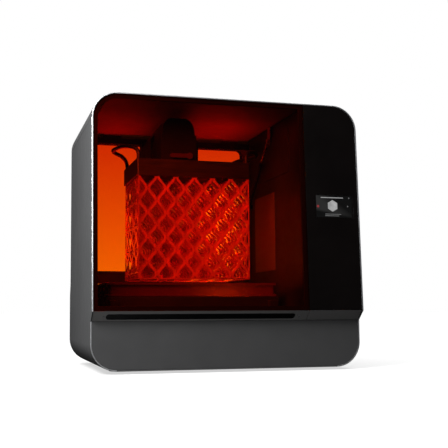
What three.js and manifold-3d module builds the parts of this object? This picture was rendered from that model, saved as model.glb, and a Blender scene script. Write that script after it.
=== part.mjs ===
// Large-format desktop resin printer, millimetres, +Z up, front facing -Y.
// Origin: centre of the footprint at the level the feet stand on.
import * as THREE from 'three';
import { mergeVertices } from 'three/addons/utils/BufferGeometryUtils.js';
import Module from 'manifold-3d';

const wasm = await Module();
wasm.setup();

// ---------------------------------------------------------------- driving dimensions
const WIDTH = 760;
const DEPTH = 520;
const FOOT_HEIGHT = 8;
const TOP = 748;
const CORNER_RADIUS = 70;
const SKIN = 3.5;
const FIT = 0.3; // clearance between pieces that touch
const RECESS = 0.8; // front panels sit this far behind the edge of the skins

const HALF_WIDTH = WIDTH / 2;
const FRONT = -DEPTH / 2;
const REAR = DEPTH / 2;
const BAR_TOP = 164; // lower edge of the leaning front
const BAR_BOTTOM = 138; // upper edge of the base front
const LEAN = 24; // how far the front leans back over its height
const BASE_SETBACK = 28;
const BAR_DEPTH = 54; // the bar reaches this far behind the front edge
const UPPER_REAR = 247;
const STEP_TOP = 250; // the rear steps out below this height
const STEP_BOTTOM = 215;
const SPLIT = 219; // seam between the hood and the fixed column
const SEAM = 0.5; // half of that seam
const CORNER_SEAM = TOP - CORNER_RADIUS; // the hood's corner meets the side panel here

const HINGE = { y: 225, z: 741, barrel: 6, pin: 2.5, stations: [-250, 150], half: 30, knuckle: 10.5 };
const STRUT = { x: 205, hood: [14, 691], body: [200, 510], cylinder: 7, rod: 4, barrel: [14, 178] };

const TANK = { x: [-325, 175], y: [-140, 132], inner: { x: [-300, 150], y: [-118, 116] }, rim: 243 };
const CRADLE_TOP = 203.3;
const DECK = { z: [161, 165], x: [-369.5, 215.9], y: [-203, 236] };
const PLATFORM = { x: [-233, 107], y: [-102, 111], z: [550, 598] };
const PRINT = { x: [-228, 103], y: [-99, 108], z: [254.6, 549.7] };
const ARM = { x: [-160, -56], y: [-98, 170], z: [598.4, 672] };
const LEVER = { x: -78, z: 610, r: 9, reach: 58 };
const SCREW = { x: -103.5, y: 181, r: 5, z: [161, 702] };
const TOWER_TOP = 705;
const BEAM = { y: [216, 232.4], z: [706, 724] }; // crosses the chamber in front of the hinges
const LIGHT = { x: 125, rodY: 90, rodZ: 90, rodR: 6 };
const BELT = { left: -325, right: 215, z: 58, r: 12.5, thick: 1.5, half: 4.5 };
const BAYS = { x: [[229, 293], [303, 367]], z: [476, 684] };
const SCREEN = { x: [246, 361], z: [422, 488] };
const FOOT = { x: 290, front: -100, rear: 215, r: 21 };
const FAN = { x: -200, z: 110, y: [229, 254], half: 40, r: 37 };

const FINISH = {
  skin: { color: 0x5b5d5f, roughness: 0.45, metalness: 0.25 },
  grey: { color: 0x3e3f41, roughness: 0.5, metalness: 0.1 },
  gloss: { color: 0x0a0808, roughness: 0.12, metalness: 0 },
  black: { color: 0x141212, roughness: 0.55, metalness: 0 },
  tint: { color: 0xff5a00, roughness: 0.05, metalness: 0, transparent: true, opacity: 0.35 },
  film: { color: 0xd8d0c0, roughness: 0.2, metalness: 0 },
  resin: { color: 0xe08a50, roughness: 0.3, metalness: 0 },
  steel: { color: 0xb8bcc0, roughness: 0.3, metalness: 1 },
  alloy: { color: 0x8d9094, roughness: 0.45, metalness: 1 },
  rubber: { color: 0x101010, roughness: 0.9, metalness: 0 },
  board: { color: 0x1c4d2c, roughness: 0.6, metalness: 0 },
};

// ---------------------------------------------------------------- solids
// A closed three.js geometry as a manifold solid.
function solid(geometry) {
  geometry.deleteAttribute('normal');
  geometry.deleteAttribute('uv');
  const welded = mergeVertices(geometry, 1e-4);
  return new wasm.Manifold(new wasm.Mesh({
    numProp: 3,
    vertProperties: new Float32Array(welded.attributes.position.array),
    triVerts: new Uint32Array(welded.index.array),
  }));
}

function box([x0, x1], [y0, y1], [z0, z1]) {
  const geometry = new THREE.BoxGeometry(x1 - x0, y1 - y0, z1 - z0);
  geometry.translate((x0 + x1) / 2, (y0 + y1) / 2, (z0 + z1) / 2);
  return solid(geometry);
}

function around(centre, half) {
  return [centre - half, centre + half];
}

function grow([low, high], by) {
  return [low - by, high + by];
}

// Extrudes a shape drawn in the plane across an axis, between two values on that axis.
const PLANES = {
  x: [new THREE.Vector3(0, 1, 0), new THREE.Vector3(0, 0, 1), new THREE.Vector3(1, 0, 0)],
  y: [new THREE.Vector3(1, 0, 0), new THREE.Vector3(0, 0, 1), new THREE.Vector3(0, -1, 0)],
  z: [new THREE.Vector3(1, 0, 0), new THREE.Vector3(0, 1, 0), new THREE.Vector3(0, 0, 1)],
};

function prism(axis, shape, [low, high], curveSegments = 5) {
  const depth = high - low;
  const geometry = new THREE.ExtrudeGeometry(shape, { depth, bevelEnabled: false, curveSegments });
  const [right, up, out] = PLANES[axis];
  const start = axis === 'y' ? out.clone().multiplyScalar(-high) : out.clone().multiplyScalar(low);
  geometry.applyMatrix4(new THREE.Matrix4().makeBasis(right, up, out).setPosition(start));
  return solid(geometry);
}

function polygon(points) {
  return new THREE.Shape(points.map(([u, v]) => new THREE.Vector2(u, v)));
}

// Rectangle with one radius for all four corners.
function roundedRect([u0, u1], [v0, v1], r) {
  const shape = new THREE.Shape();
  shape.absarc(u1 - r, v0 + r, r, -Math.PI / 2, 0);
  shape.absarc(u1 - r, v1 - r, r, 0, Math.PI / 2);
  shape.absarc(u0 + r, v1 - r, r, Math.PI / 2, Math.PI);
  shape.absarc(u0 + r, v0 + r, r, Math.PI, Math.PI * 1.5);
  return shape;
}

const ROD_TURN = { x: [0, 0, -Math.PI / 2], y: [0, 0, 0], z: [Math.PI / 2, 0, 0] };

// Cylinder along an axis; centre gives the two coordinates across it, in X, Y, Z order.
function rod(axis, centre, [low, high], r, segments = 24) {
  const geometry = new THREE.CylinderGeometry(r, r, high - low, segments);
  const turn = ROD_TURN[axis];
  geometry.rotateZ(turn[2]);
  geometry.rotateX(turn[0]);
  const middle = (low + high) / 2;
  const place = {
    x: [middle, centre[0], centre[1]],
    y: [centre[0], middle, centre[1]],
    z: [centre[0], centre[1], middle],
  }[axis];
  geometry.translate(...place);
  return solid(geometry);
}

function join(first, ...rest) {
  return rest.reduce((whole, piece) => whole.add(piece), first);
}

function cut(first, ...rest) {
  return rest.reduce((whole, piece) => whole.subtract(piece), first);
}

// ---------------------------------------------------------------- the body's outline
const EVERY_Y = [FRONT - 10, REAR + 10];
const EVERY_X = [-HALF_WIDTH - 10, HALF_WIDTH + 10];
const EVERY_Z = [-1, TOP + 10];

function frontY(z) {
  return FRONT + LEAN * (z - BAR_TOP) / (TOP - BAR_TOP);
}

// Front view outline, moved inwards by an inset, between two values of Y.
function outline(inset, ySpan = EVERY_Y) {
  const across = [-HALF_WIDTH + inset, HALF_WIDTH - inset];
  const height = [FOOT_HEIGHT + inset, TOP - inset];
  return prism('y', roundedRect(across, height, CORNER_RADIUS - inset), ySpan);
}

// Side view outline over the whole width.
function profile() {
  return prism('x', polygon([
    [FRONT + BASE_SETBACK, FOOT_HEIGHT],
    [REAR, FOOT_HEIGHT],
    [REAR, STEP_BOTTOM],
    [UPPER_REAR, STEP_TOP],
    [UPPER_REAR, TOP],
    [frontY(TOP), TOP],
    [FRONT, BAR_TOP],
    [FRONT + BASE_SETBACK, BAR_BOTTOM],
  ]), EVERY_X);
}

// Slab parallel to the leaning front, from one depth behind it to another.
function leaningSlab(near, far) {
  return prism('x', polygon([
    [frontY(BAR_TOP) + near, BAR_TOP],
    [frontY(BAR_TOP) + far, BAR_TOP],
    [frontY(TOP) + far, TOP],
    [frontY(TOP) + near, TOP],
  ]), EVERY_X);
}

const skinTube = cut(outline(0), outline(SKIN)).intersect(profile());

// ---------------------------------------------------------------- meshes
const printer = new THREE.Group();

function add(name, finish, shape) {
  const mesh = shape.getMesh();
  const geometry = new THREE.BufferGeometry();
  geometry.setAttribute('position', new THREE.BufferAttribute(new Float32Array(mesh.vertProperties), 3));
  geometry.setIndex(new THREE.BufferAttribute(new Uint32Array(mesh.triVerts), 1));
  geometry.computeVertexNormals();
  const material = new THREE.MeshStandardMaterial({ ...FINISH[finish], flatShading: true });
  const part = new THREE.Mesh(geometry, material);
  part.name = name;
  printer.add(part);
}

// ---------------------------------------------------------------- outer casing
function casing() {
  const leftEdge = -HALF_WIDTH + CORNER_RADIUS;
  const rightEdge = -leftEdge;
  add('left_side_panel', 'skin', skinTube.intersect(
    box([-HALF_WIDTH - 1, leftEdge - SEAM], EVERY_Y, [0, CORNER_SEAM - SEAM / 2])));
  const rightSide = box([rightEdge + SEAM, HALF_WIDTH + 1], EVERY_Y, EVERY_Z);
  const columnTop = box([SPLIT + SEAM, HALF_WIDTH], EVERY_Y, [TOP - SKIN - 1, TOP + 1]);
  add('right_side_panel', 'skin', skinTube.intersect(join(rightSide, columnTop)));

  // The bottom pan carries the post and pin of the belt's idler.
  const pan = skinTube.intersect(box([leftEdge, rightEdge], EVERY_Y, [0, FOOT_HEIGHT + SKIN + 1]));
  const postX = [leftEdge + 2, leftEdge + 14];
  const postY = [BELT.half + 4, BELT.half + 8];
  const post = box(postX, postY, [FOOT_HEIGHT + SKIN - 1, BELT.z + 8]);
  const postFoot = box([postX[0], postX[1] + 20], [postY[0] - 6, postY[1] + 16],
    [FOOT_HEIGHT + SKIN - 1, FOOT_HEIGHT + SKIN + 3]);
  const arm = box([BELT.left - 8, postX[1]], postY, around(BELT.z, 8));
  const pin = rod('y', [BELT.left, BELT.z], [-BELT.half - 2, postY[1]], 2.5, 16);
  add('bottom_pan', 'grey', join(pan, post, postFoot, arm, pin));

  // The panel's top edge runs back under the bar and turns up behind it.
  const faceY = FRONT + BASE_SETBACK + RECESS;
  const lipY = FRONT + BAR_DEPTH + FIT;
  const topZ = BAR_BOTTOM - SEAM;
  const face = box(EVERY_X, [faceY, faceY + 3], [0, topZ]);
  const shelf = box(EVERY_X, [faceY, lipY + 3], [topZ - 3, topZ]);
  const lip = box(EVERY_X, [lipY, lipY + 3], [topZ - 3, topZ + 12]);
  add('base_front_panel', 'grey', outline(SKIN + FIT).intersect(join(face, shelf, lip)));
}

// Cross-section shared by the hood's handle bar and the fixed bar of the column.
function barPrism(xSpan) {
  const inset = 1;
  return prism('x', polygon([
    [FRONT + inset, BAR_TOP + FIT],
    [FRONT + BASE_SETBACK + inset, BAR_BOTTOM + FIT],
    [FRONT + BAR_DEPTH, BAR_BOTTOM + FIT],
    [FRONT + BAR_DEPTH, BAR_TOP + FIT],
  ]), xSpan);
}

// ---------------------------------------------------------------- fixed column on the right
function column() {
  const right = HALF_WIDTH - SKIN - FIT;
  const face = outline(SKIN + FIT).intersect(leaningSlab(RECESS, RECESS + 4))
    .intersect(box([SPLIT + SEAM, HALF_WIDTH], EVERY_Y, [BAR_TOP + 1, TOP]));
  const hole = prism('y', roundedRect(grow(SCREEN.x, FIT), grow(SCREEN.z, FIT), 3), EVERY_Y, 2);
  add('column_front_panel', 'gloss', cut(face, hole));
  add('touchscreen', 'gloss', prism('y', roundedRect(SCREEN.x, SCREEN.z, 3), EVERY_Y, 2)
    .intersect(leaningSlab(RECESS + 0.4, RECESS + 9)));
  add('column_bar', 'grey', barPrism([SPLIT + SEAM, right]));

  // Wall between the chamber and the column, with two raised areas and the strut's stud.
  // The beam in front of the hinges grows out of it.
  const wallX = [SPLIT - 2.8, SPLIT - FIT];
  const wall = box(wallX, [-218, 240], [DECK.z[1] + FIT, 735]);
  const raised = box([wallX[0] - 2.6, wallX[0] + 1], [-133, 200], [572, 700]);
  const band = box([wallX[0] - 1.2, wallX[0] + 1], [-12, 165], [288, 528]);
  const beam = outline(SKIN + 2).intersect(box([-HALF_WIDTH, wallX[0] + 1], BEAM.y, BEAM.z));
  const stud = rod('x', STRUT.body, [STRUT.x - 5, wallX[0] + 1], 4, 20);
  const studFlange = rod('x', STRUT.body, [STRUT.x + 4, wallX[0] + 1], 9, 20);
  add('column_inner_wall', 'black', join(wall, raised, band, beam, stud, studFlange));

  // Rear panel with two cartridge bays behind it.
  const panel = outline(SKIN + FIT, [241, 245])
    .intersect(box([SPLIT + SEAM, HALF_WIDTH], EVERY_Y, [STEP_TOP + 2, TOP]));
  const mouths = BAYS.x.map((span) => box(span, EVERY_Y, BAYS.z));
  add('column_rear_panel', 'grey', cut(panel, ...mouths));
  const bay = box([224, 372], [90, 240.7], grow(BAYS.z, 6));
  const pockets = BAYS.x.map((span) => box(span, [98, 300], BAYS.z));
  add('cartridge_bay', 'black', cut(bay, ...pockets));
  BAYS.x.forEach((span, index) => {
    const body = prism('y', roundedRect(grow(span, -1), grow(BAYS.z, -1), 8), [100, 247], 3);
    const grip = box(grow(span, -14), [235, 250], [560, 600]);
    add(`resin_cartridge_${index ? 'right' : 'left'}`, 'black', cut(body, grip));
  });

  add('power_supply', 'alloy', prism('x', roundedRect([-60, 140], [14, 98], 3), [240, 322], 2));
  const board = box([225, 227.4], [-180, 60], [200, 400]);
  const parts = [[-150, 230, 40, 14], [-80, 300, 50, 9], [0, 250, 44, 18], [-120, 350, 60, 7]].map(
    ([y, z, size, tall]) => box([227, 227.4 + tall], [y, y + size], [z, z + size * 0.7]));
  add('main_board', 'board', join(board, ...parts));
}

// ---------------------------------------------------------------- hood: window, bar, top and hinges
function hood() {
  const right = SPLIT - SEAM;
  const seamZ = CORNER_SEAM + SEAM / 2;
  const shell = skinTube.intersect(box([-HALF_WIDTH - 1, right], [FRONT - 1, HINGE.y], [seamZ, TOP + 1]));
  const notches = HINGE.stations.map((x) => box(
    around(x, HINGE.half + 1), [HINGE.y - 7, HINGE.y + 1], [TOP - 9, TOP + 1]));
  add('hood_skin', 'skin', cut(shell, ...notches));

  const clearOfBar = box([-HALF_WIDTH, right], EVERY_Y, [BAR_TOP + 1, TOP]);
  add('front_window', 'tint', outline(SKIN + FIT)
    .intersect(leaningSlab(RECESS, RECESS + 4)).intersect(clearOfBar));

  const border = 12;
  const ringOuter = outline(SKIN + FIT).intersect(clearOfBar);
  const ringInner = outline(SKIN + FIT + border).intersect(
    box([-HALF_WIDTH, right - border], EVERY_Y, [BAR_TOP + 1 + border, TOP]));
  const ringSlab = leaningSlab(RECESS + 4 + FIT, RECESS + 13);
  add('hood_frame', 'black', cut(ringOuter, ringInner).intersect(ringSlab));

  const slot = prism('y', roundedRect([-342, 183], [142.5, 156.6], 7), [FRONT - 10, FRONT + 46], 4);
  add('handle_bar', 'grey', cut(barPrism([-HALF_WIDTH + SKIN + FIT, right]), slot));

  // Ceiling of the chamber, with the moving knuckles and the strut's bracket.
  const sheet = box([-335, 212], [-215, 215], [736, 739]);
  const bores = HINGE.stations.map((x) => rod('x', [HINGE.y, HINGE.z], around(x, 20), HINGE.pin + FIT, 20));
  const knuckles = HINGE.stations.map((x) => join(
    rod('x', [HINGE.y, HINGE.z], around(x, HINGE.knuckle), HINGE.barrel, 20),
    box(around(x, HINGE.knuckle), [190, HINGE.y], [738, 743.5])));
  const [hookY, hookZ] = STRUT.hood;
  const plateX = [STRUT.x + 4.4, STRUT.x + 7.6];
  const bracket = join(
    box(plateX, around(hookY, 12), [hookZ, 737]),
    rod('x', STRUT.hood, plateX, 12, 20));
  add('hood_liner', 'black', cut(join(sheet, ...knuckles, bracket), ...bores));

  HINGE.stations.forEach((x, index) => {
    const reach = HINGE.half;
    const inner = HINGE.knuckle + 0.5;
    const knuckle = (span) => join(
      rod('x', [HINGE.y, HINGE.z], span, HINGE.barrel, 20),
      box(span, [HINGE.y, 240.6], [HINGE.z - HINGE.barrel, HINGE.z]));
    const leaf = box(around(x, reach), [233, 240.6], [HINGE.z - 34, HINGE.z]);
    const pin = rod('x', [HINGE.y, HINGE.z], around(x, reach - 1), HINGE.pin, 20);
    add(`hinge_bracket_${index ? 'right' : 'left'}`, 'steel',
      join(knuckle([x - reach, x - inner]), knuckle([x + inner, x + reach]), leaf, pin));
  });
}

// The strut lies in a plane across X, so it is built along +Z and turned into place.
function gasStrut() {
  const [hoodY, hoodZ] = STRUT.hood;
  const [bodyY, bodyZ] = STRUT.body;
  const length = Math.hypot(hoodY - bodyY, hoodZ - bodyZ);
  const turn = new THREE.Matrix4().makeRotationX(-Math.atan2(hoodY - bodyY, hoodZ - bodyZ));
  turn.setPosition(STRUT.x, bodyY, bodyZ);
  const placed = (shape) => shape.transform(turn.elements.slice());
  const eye = (z, r) => rod('x', [0, z], [-3, 3], r, 20);
  const [low, high] = STRUT.barrel;
  const neck = box([-3, 3], [-5, 5], [0, low + 1]);
  const tube = join(rod('z', [0, 0], [low, high], STRUT.cylinder), eye(0, 9), neck);
  add('gas_strut_cylinder', 'black', placed(cut(tube,
    rod('z', [0, 0], [low + 4, high + 1], STRUT.rod + 0.4),
    rod('x', [0, 0], [-6, 6], 4.3, 20))));
  add('gas_strut_rod', 'steel', placed(join(
    rod('z', [0, 0], [low + 8, length - 2], STRUT.rod, 16),
    eye(length, 8))));
}

// ---------------------------------------------------------------- chamber
function chamber() {
  add('left_inner_wall', 'black', box([-372.5, -370], [-218, 240], [DECK.z[1] + FIT, CORNER_SEAM - 2]));

  // Deck with the raised cradle that the tank sits in.
  const plate = box(DECK.x, DECK.y, DECK.z);
  const cradle = box(TANK.x, TANK.y, [DECK.z[0], CRADLE_TOP]);
  const well = box(TANK.inner.x, TANK.inner.y, [0, 300]);
  const screwHole = rod('z', [SCREW.x, SCREW.y], [100, 200], SCREW.r + 2);
  const stops = [TANK.x[0] + 20, TANK.x[1] - 20].map((x) => box(
    around(x, 11), [TANK.y[0] - 15, TANK.y[0] + 1], [DECK.z[0], CRADLE_TOP - 10]));
  add('chamber_deck', 'black', cut(join(plate, cradle, ...stops), well, screwHole));

  const filmLevel = [CRADLE_TOP + FIT, CRADLE_TOP + 1.5];
  const wallZ = [filmLevel[1] + FIT, TANK.rim];
  const flange = prism('z', roundedRect(TANK.x, TANK.y, 14), wallZ, 3);
  const cavity = prism('z', roundedRect(TANK.inner.x, TANK.inner.y, 8), EVERY_Z, 3);
  const waist = prism('z', roundedRect(grow(TANK.x, -8), grow(TANK.y, -8), 10), EVERY_Z, 3);
  const underRim = cut(box(EVERY_X, EVERY_Y, [wallZ[0] + 6, TANK.rim - 6]), waist);
  add('resin_tank', 'black', cut(flange, cavity, underRim));
  add('tank_film', 'film', prism('z', roundedRect(grow(TANK.x, -6), grow(TANK.y, -6), 8), filmLevel, 3));
  add('tank_mixer', 'alloy', join(
    box(around(LIGHT.x + 5, 8), [-112, 110], [206, 209]),
    box(around(LIGHT.x + 5, 2), [-112, 110], [208, 211.4])));

  // Rear wall of the chamber with its window, and the strip of roof behind the hood.
  const aboveSeam = [CORNER_SEAM + SEAM / 2, TOP + 1];
  const lowerPlate = outline(SKIN + FIT, [241, 245])
    .intersect(box([-HALF_WIDTH, SPLIT], EVERY_Y, [STEP_TOP + 2, CORNER_SEAM]));
  const upperPlate = outline(1, [241, 245]).intersect(box([-HALF_WIDTH, SPLIT], EVERY_Y, aboveSeam));
  const strip = skinTube.intersect(box([-HALF_WIDTH - 1, SPLIT], [HINGE.y + 7.6, REAR], aboveSeam));
  const joint = box([-370, SPLIT], [241, 245], around(CORNER_SEAM, 2));
  const lightHole = prism('y', roundedRect([-345, 190], [293, 704], 16), EVERY_Y, 4);
  add('rear_upper_frame', 'grey', cut(join(lowerPlate, upperPlate, strip, joint), lightHole));
  add('rear_window', 'tint', prism('y', roundedRect([-352, 197], [286, 707], 18), [237, 240.6], 3));
}

// ---------------------------------------------------------------- lift with platform and print
function lift() {
  const [x0, x1] = ARM.x;
  const column = box([x0 + 2, x1 - 2], [196, 236], [DECK.z[1] + FIT, TOWER_TOP]);
  const channel = box([x0 + 10, x1 - 10], [204, 240], [DECK.z[1] - 1, TOWER_TOP - 8]);
  const rails = [x0 + 18, x1 - 18].map((x) => box(around(x, 6), [188.3, 197], [185, TOWER_TOP - 8]));
  add('z_tower', 'black', cut(join(column, ...rails), channel));
  const motor = roundedRect(around(SCREW.x, 21), around(SCREW.y, 21), 5);
  add('z_motor', 'alloy', prism('z', motor, [105, 160.6], 2));
  add('lead_screw', 'steel', rod('z', [SCREW.x, SCREW.y], SCREW.z, SCREW.r, 16));

  const bodyArm = box(ARM.x, ARM.y, ARM.z);
  const hollow = box([x0 + 8, x1 - 8], [ARM.y[0] + 8, ARM.y[1] - 10], [ARM.z[0] - 1, ARM.z[1] - 8]);
  const blocks = [x0 + 18, x1 - 18].map((x) => cut(
    box(around(x, 11), [ARM.y[1] - 1, 195.5], [612, 668]),
    box(around(x, 6.4), [187.9, 196], [600, 680])));
  const nut = join(
    rod('z', [SCREW.x, SCREW.y], [615, 640], 9.5),
    box(around(SCREW.x, 7), [ARM.y[1] - 1, SCREW.y - 6], [615, 640]));
  add('carriage_arm', 'black', cut(
    join(cut(bodyArm, hollow), ...blocks, nut),
    rod('z', [SCREW.x, SCREW.y], [600, 700], SCREW.r + 0.4, 16)));

  const dome = new THREE.Shape();
  dome.moveTo(x0 + 3, ARM.z[1] + FIT);
  dome.lineTo(x1 - 3, ARM.z[1] + FIT);
  dome.bezierCurveTo(x1 - 3, ARM.z[1] + 30, x1 - 14, 722, x1 - 34, 722);
  dome.lineTo(x0 + 34, 722);
  dome.bezierCurveTo(x0 + 14, 722, x0 + 3, ARM.z[1] + 30, x0 + 3, ARM.z[1] + FIT);
  add('arm_cover', 'black', prism('y', dome, [ARM.y[0] + 6, ARM.y[1] - 4], 8));

  const grip = roundedRect([LEVER.x - LEVER.reach, LEVER.x], around(LEVER.z, 6), 5.8);
  add('platform_lock_lever', 'resin', join(
    rod('y', [LEVER.x, LEVER.z], [ARM.y[0] - 9, ARM.y[0] - FIT], LEVER.r),
    prism('y', grip, [ARM.y[0] - 8, ARM.y[0] - 2], 3)));

  const [px, py, pz] = [PLATFORM.x, PLATFORM.y, PLATFORM.z];
  const slab = prism('z', roundedRect(px, py, 6), pz, 3);
  const pocket = box(grow(px, -8), grow(py, -8), [pz[0] + 12, pz[1] + 1]);
  const bridge = box([x0 - 6, x1 + 6], [py[0] + 4, py[1] - 4], [pz[1] - 10, pz[1]]);
  add('build_platform', 'alloy', join(cut(slab, pocket), bridge));

  // Bail handles: up from a front corner, out and round in a flat loop, and down at the rear corner.
  const centreX = (px[0] + px[1]) / 2;
  const footX = (px[1] - px[0]) / 2 - 8;
  const loopPoints = [
    [0, -86, pz[1]], [0, -86, 616], [6, -80, 630], [22, -66, 638], [42, -48, 640], [56, -18, 638],
    [58, 8, 637], [45, 40, 637], [23, 66, 634], [7, 86, 625], [0, 96, 612], [0, 96, pz[1]],
  ];
  [-1, 1].forEach((side) => {
    const path = new THREE.CatmullRomCurve3(loopPoints.map(
      ([out, y, z]) => new THREE.Vector3(centreX + side * (footX + out), y, z)), false, 'catmullrom', 0.5);
    const section = new THREE.Shape().absarc(0, 0, 6, 0, Math.PI * 2);
    const bail = new THREE.ExtrudeGeometry(section, {
      steps: 34, curveSegments: 4, bevelEnabled: false, extrudePath: path });
    const trimmed = solid(bail).intersect(box(EVERY_X, EVERY_Y, [pz[1] + FIT, TOP]));
    add(`platform_handle_${side < 0 ? 'left' : 'right'}`, 'black', trimmed);
  });

  // The print is a lattice block; here it is an open-topped shell with the lattice's outer size.
  const wall = 8;
  const inside = box(grow(PRINT.x, -wall), grow(PRINT.y, -wall), [PRINT.z[0] + wall, PRINT.z[1] + 1]);
  add('printed_lattice', 'resin', cut(box(PRINT.x, PRINT.y, PRINT.z), inside));
}

// ---------------------------------------------------------------- light carriage under the tank
function lightDrive() {
  [-1, 1].forEach((side) => {
    add(`light_rod_${side < 0 ? 'front' : 'rear'}`, 'steel',
      rod('x', [side * LIGHT.rodY, LIGHT.rodZ], [-366, 205], LIGHT.rodR));
  });

  const base = box(around(LIGHT.x, 60), [-120, 120], [76, 104]);
  const spine = box(around(LIGHT.x, 14), [-104, 104], [103, 190]);
  const cheeks = [-1, 1].map((side) => box(around(LIGHT.x, 8), around(side * 107, 4), [103, 202]));
  const clamp = box(around(LIGHT.x, 12), [-6, 6], [BELT.z + BELT.r + BELT.thick + 0.5, 77]);
  const bores = [-1, 1].map((side) => rod(
    'x', [side * LIGHT.rodY, LIGHT.rodZ], [0, 250], LIGHT.rodR + 0.5));
  const rollerZ = 196.5;
  const axle = rod('y', [LIGHT.x, rollerZ], [-120, 120], 2.4, 16);
  add('light_carriage', 'alloy', cut(join(base, spine, ...cheeks, clamp), ...bores, axle));
  [-1, 1].forEach((side) => {
    const unit = prism('y', roundedRect([LIGHT.x - 58, LIGHT.x - 14.5], [104.3, 158], 4),
      side < 0 ? [-110, -5] : [5, 110], 2);
    add(`laser_unit_${side < 0 ? 'front' : 'rear'}`, 'black', unit);
  });
  add('film_roller', 'steel', join(
    rod('y', [LIGHT.x, rollerZ], [-102, 102], 5, 16),
    rod('y', [LIGHT.x, rollerZ], [-111, 111], 2, 12)));

  const loop = (r, ySpan) => prism(
    'y', roundedRect(grow([BELT.left, BELT.right], r), around(BELT.z, r), r - 0.01), ySpan, 5);
  add('drive_belt', 'rubber', cut(
    loop(BELT.r + BELT.thick, around(0, BELT.half)),
    loop(BELT.r, around(0, BELT.half + 1))));
  const wheel = (x) => rod('y', [x, BELT.z], around(0, BELT.half + 1), BELT.r - 0.5, 20);
  const idlerBore = rod('y', [BELT.left, BELT.z], [-20, 20], 2.9, 16);
  add('idler_pulley', 'alloy', cut(wheel(BELT.left), idlerBore));
  const driveShaft = rod('y', [BELT.right, BELT.z], [0, 11.6], 2.5, 16);
  add('drive_pulley', 'alloy', join(wheel(BELT.right), driveShaft));
  add('drive_motor', 'alloy', join(
    prism('y', roundedRect(around(BELT.right, 21), around(BELT.z, 21), 5), [12, 58], 2),
    box(around(BELT.right, 17), [14, 56], [FOOT_HEIGHT + SKIN + FIT, 40])));
}

// ---------------------------------------------------------------- rear of the base and its fittings
function rearServices() {
  const sheet = prism('x', polygon([
    [REAR - 4, 8], [REAR - 0.4, 8], [REAR - 0.4, STEP_BOTTOM], [UPPER_REAR - 0.4, STEP_TOP],
    [UPPER_REAR - 4, STEP_TOP], [REAR - 4, STEP_BOTTOM - 1],
  ]), EVERY_X).intersect(outline(SKIN + FIT));
  const grille = Array.from({ length: 8 }, (_, row) => {
    const z = FAN.z - 33.5 + row * 9;
    const half = Math.sqrt(FAN.r ** 2 - (z + 2 - FAN.z) ** 2) - 3;
    return box(around(FAN.x, half), EVERY_Y, [z, z + 4.5]);
  });
  const inletX = around(300, 14.5);
  const inletZ = around(60, 11);
  const switchX = around(250, 11);
  const switchZ = around(60, 14);
  add('rear_lower_cover', 'grey', cut(sheet, ...grille,
    box(grow(inletX, FIT), EVERY_Y, grow(inletZ, FIT)),
    box(grow(switchX, FIT), EVERY_Y, grow(switchZ, FIT))));
  const socket = box(around(300, 12), [244, 270], around(60, 8.5));
  const pins = [-7, 0, 7].map((x) => box(around(300 + x, 1.2), [242, 256], around(60, 2.5)));
  add('power_inlet', 'black', join(cut(box(inletX, [228, REAR - 0.6], inletZ), socket), ...pins));

  const rocker = prism('x', polygon([
    [REAR - 1.5, 49], [REAR - 5.5, 60], [REAR - 1, 71], [REAR - 10, 71], [REAR - 10, 49],
  ]), around(250, 7.5));
  add('rocker_switch', 'black', rocker.intersect(rod('x', [REAR - 10, 60], around(250, 9), 13.2, 28)));
  add('switch_housing', 'black', cut(
    box(switchX, [232, REAR - 1.4], switchZ),
    rod('x', [REAR - 10, 60], around(250, 8), 13.6, 28),
    box(around(250, 8), [REAR - 10, REAR + 5], around(60, 13.2))));

  const frame = prism('y', roundedRect(around(FAN.x, FAN.half), around(FAN.z, FAN.half), 4), FAN.y, 2);
  const throat = rod('y', [FAN.x, FAN.z], EVERY_Y, FAN.r, 40);
  const spokes = join(
    box(around(FAN.x, FAN.half - 1), [FAN.y[0], FAN.y[0] + 4], around(FAN.z, 2.5)),
    box(around(FAN.x, 2.5), [FAN.y[0], FAN.y[0] + 4], around(FAN.z, FAN.half - 1)),
    rod('y', [FAN.x, FAN.z], [FAN.y[0], FAN.y[0] + 4], 14));
  add('fan_frame', 'black', join(cut(frame, throat), spokes));
  const hub = rod('y', [0, 0], [FAN.y[0] + 5, FAN.y[1] - 2], 15);
  const blades = Array.from({ length: 7 }, (_, index) => {
    const blade = new THREE.BoxGeometry(21, 14, 1.6);
    blade.rotateX(0.6);
    blade.translate(25, (FAN.y[0] + FAN.y[1]) / 2 + 1, 0);
    blade.rotateY(index * 2 * Math.PI / 7);
    return solid(blade);
  });
  add('fan_rotor', 'black', join(hub, ...blades).translate(FAN.x, 0, FAN.z));
}

function feet() {
  const top = FOOT_HEIGHT - FIT;
  const edge = [[0, 0], [FOOT.r - 2, 0], [FOOT.r, 2], [FOOT.r, top], [0, top]];
  [['front', FOOT.front], ['rear', FOOT.rear]].forEach(([end, y]) => {
    [['left', -FOOT.x], ['right', FOOT.x]].forEach(([side, x]) => {
      const foot = new THREE.LatheGeometry(edge.map(([r, z]) => new THREE.Vector2(r, z)), 24);
      foot.rotateX(Math.PI / 2);
      foot.translate(x, y, 0);
      add(`foot_${end}_${side}`, 'rubber', solid(foot));
    });
  });
}

casing();
column();
hood();
gasStrut();
chamber();
lift();
lightDrive();
rearServices();
feet();

export default printer;
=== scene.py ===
"""Large-format resin printer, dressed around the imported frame. Metres, +Z up, the front faces -Y."""
import math

import bmesh
import bpy
from mathutils import Matrix, Vector


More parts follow.
